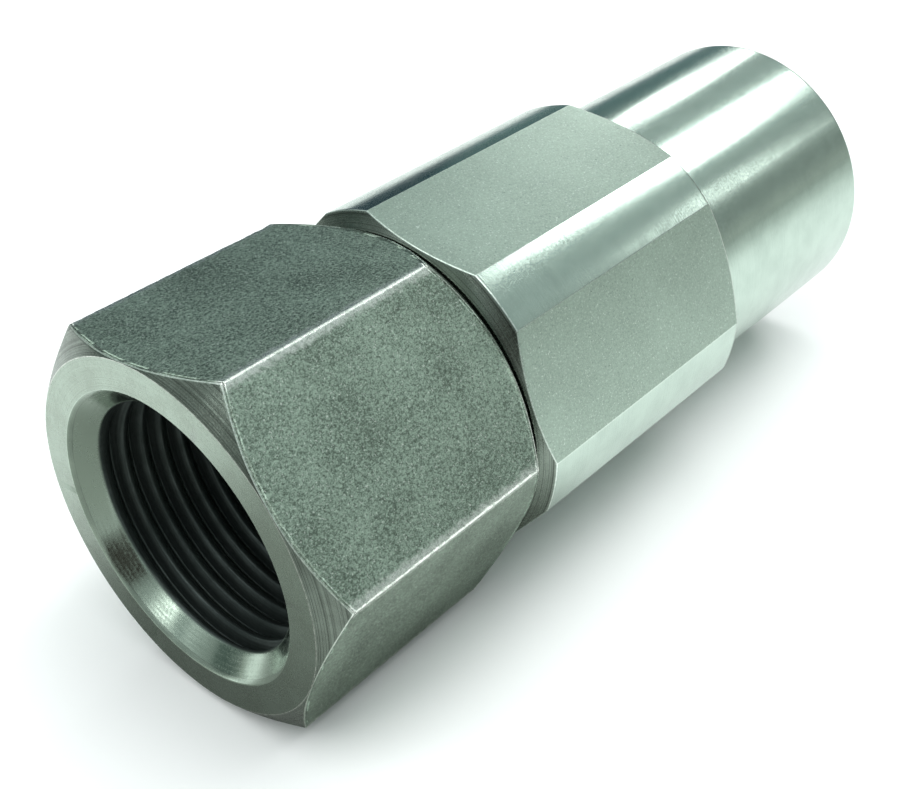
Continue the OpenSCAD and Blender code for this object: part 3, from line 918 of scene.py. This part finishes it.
# Cards that only the steel mirrors: azimuth, elevation, width, height and brightness
CARDS = [(129, 8, 18, 24, (0.12, 0.20, 0.21)), (150, 13, 26, 32, (0.03, 0.06, 0.08)),
         (-152, 13, 30, 20, (0.11, 0.15, 0.14)), (-71, 6, 24, 26, (0.055, 0.047, 0.042))]


def direction(azimuth, elevation):
    """Unit vector towards an azimuth, 0 at -Y and 90 at +X, and an elevation, in degrees."""
    a, e = math.radians(azimuth), math.radians(elevation)
    return Vector((math.sin(a) * math.cos(e), -math.cos(a) * math.cos(e), math.sin(e)))


def softbox(name, azimuth, elevation, width, height, radiance, distance=0.7, mirrored=True):
    """A soft light that covers that many degrees across and up, seen from the valve. If it isn't mirrored, it
    lights the floor and plastics without showing in the steel."""
    light = bpy.data.lights.new(name, "AREA")
    light.shape = "RECTANGLE"
    light.size = 2 * distance * math.tan(math.radians(width / 2))
    light.size_y = 2 * distance * math.tan(math.radians(height / 2))
    light.energy = radiance * math.pi * light.size * light.size_y
    lamp = bpy.data.objects.new(name, light)
    lamp.location = direction(azimuth, elevation) * distance
    lamp.rotation_euler = direction(azimuth, elevation).to_track_quat("Z", "Y").to_euler()
    lamp.visible_camera = False
    lamp.visible_glossy = mirrored
    bpy.context.scene.collection.objects.link(lamp)


def card(number, azimuth, elevation, width, height, colour, distance=0.95):
    """A dark card behind the lights, which shows as a dark band in the steel and in nothing else."""
    across = distance * math.tan(math.radians(width / 2))
    up = distance * math.tan(math.radians(height / 2))
    mesh = bpy.data.meshes.new("card")
    corners = [(-across, -up, 0), (across, -up, 0), (across, up, 0), (-across, up, 0)]
    mesh.from_pydata(corners, [], [(0, 1, 2, 3)])
    material = bpy.data.materials.new("card")
    material.use_nodes = True
    nodes = material.node_tree.nodes
    nodes.clear()
    glow = nodes.new("ShaderNodeEmission")
    glow.inputs["Color"].default_value = (*colour, 1)
    output = nodes.new("ShaderNodeOutputMaterial")
    material.node_tree.links.new(glow.outputs[0], output.inputs["Surface"])
    mesh.materials.append(material)
    panel = bpy.data.objects.new("card_%d" % number, mesh)
    panel.location = direction(azimuth, elevation) * distance
    panel.rotation_euler = direction(azimuth, elevation).to_track_quat("Z", "Y").to_euler()
    for way in ("visible_camera", "visible_diffuse", "visible_shadow", "visible_transmission"):
        setattr(panel, way, False)
    bpy.context.scene.collection.objects.link(panel)


def floor(name, level, mirrored):
    """A pale floor. The steel mirrors a second one, with painted shadow beside the cap and painted shade out
    of view.
    """
    s = Surface(name)
    s.shader.inputs["Specular IOR Level"].default_value = 0.25
    fibre = s.grain(0.6, 3.0)
    colour = s.blend(s.grain(0.02, 2.0), (0.93, 0.935, 0.93), (0.95, 0.955, 0.95))
    if mirrored:
        for azimuth, starts, ends, dim in PAINTED_FLOOR_FADES:
            along = {0: s.place, 1: direction(azimuth, 0)}
            distance = s.node("ShaderNodeVectorMath", along, operation="DOT_PRODUCT").outputs["Value"]
            colour = s.blend(s.spread(distance, starts, ends), colour, dim)
        parts = s.node("ShaderNodeSeparateXYZ", {0: s.place}).outputs
        # Painted shadow near the cap, which only the steel's reflections show
        beside = s.spread(s.math("ABSOLUTE", parts["Y"]), *PAINTED_SHADOW_BESIDE)
        behind = s.spread(parts["X"], *PAINTED_SHADOW_UP_TO)
        colour = s.blend(s.math("MAXIMUM", beside, behind), PAINTED_SHADOW_COLOUR, colour)
    material = s.finish(colour, s.spread(fibre, 0.3, 0.7, 0.6, 0.7), [(fibre, 0.01)], metallic=0.0)
    half = 4.0
    mesh = bpy.data.meshes.new(name)
    mesh.from_pydata([(-half, -half, level), (half, -half, level), (half, half, level), (-half, half, level)],
                     [], [(0, 1, 2, 3)])
    mesh.materials.append(material)
    ground = bpy.data.objects.new(name, mesh)
    ground.visible_glossy = mirrored
    for way in ("visible_camera", "visible_diffuse", "visible_shadow"):
        setattr(ground, way, not mirrored)
    bpy.context.scene.collection.objects.link(ground)


def surroundings():
    """A room in bands of brightness by height."""
    world = bpy.data.worlds.new("room")
    world.use_nodes = True
    nodes, links = world.node_tree.nodes, world.node_tree.links
    place = nodes.new("ShaderNodeTexCoord").outputs["Generated"]
    parts = nodes.new("ShaderNodeSeparateXYZ")
    ramp = nodes.new("ShaderNodeValToRGB")
    links.new(place, parts.inputs[0])
    links.new(parts.outputs["Z"], ramp.inputs[0])
    bands = ramp.color_ramp.elements
    bands[0].color = (*ROOM_BANDS[0][1], 1)
    bands[1].position = ROOM_BANDS[-1][0]
    bands[1].color = (*ROOM_BANDS[-1][1], 1)
    for height, colour in ROOM_BANDS[1:-1]:
        bands.new(height).color = (*colour, 1)
    links.new(ramp.outputs[0], nodes["Background"].inputs["Color"])
    bpy.context.scene.world = world


def camera():
    view = bpy.data.cameras.new("camera")
    view.lens = CAMERA_LENS
    view.sensor_width = 36
    view.clip_start = 0.005
    turn, tilt, roll = (math.radians(angle) for angle in CAMERA_ANGLES)
    eye = bpy.data.objects.new("camera", view)
    eye.matrix_world = (Matrix.Translation(Vector(CAMERA_PLACE) * MM) @ Matrix.Rotation(turn, 4, "Z")
                        @ Matrix.Rotation(tilt, 4, "X") @ Matrix.Rotation(roll, 4, "Z"))
    bpy.context.scene.collection.objects.link(eye)
    bpy.context.scene.camera = eye


floor("floor", cad_lo.z, False)
floor("mirrored_floor", cad_lo.z + 0.02 * MM, True)
surroundings()
for number, settings in enumerate(CARDS):
    card(number, *settings)
softbox("overhead", 0, 88, 60, 60, 1.2, 0.9)
softbox("side", 42, 66, 40, 40, 2.2, 0.8, False)
softbox("front", -105, 50, 40, 40, 2.0, 0.8, False)
softbox("key", 81.5, 39.5, 16, 13, 7.0)
softbox("second", 118.5, 25.5, 10, 10, 5.0)
softbox("third", 58, 23, 7, 9, 1.7)
softbox("left", -97, 28, 12, 8, 2.6)
softbox("left_far", -123, 29, 14, 6, 1.0)
camera()
bpy.context.scene.view_settings.view_transform = "Standard"
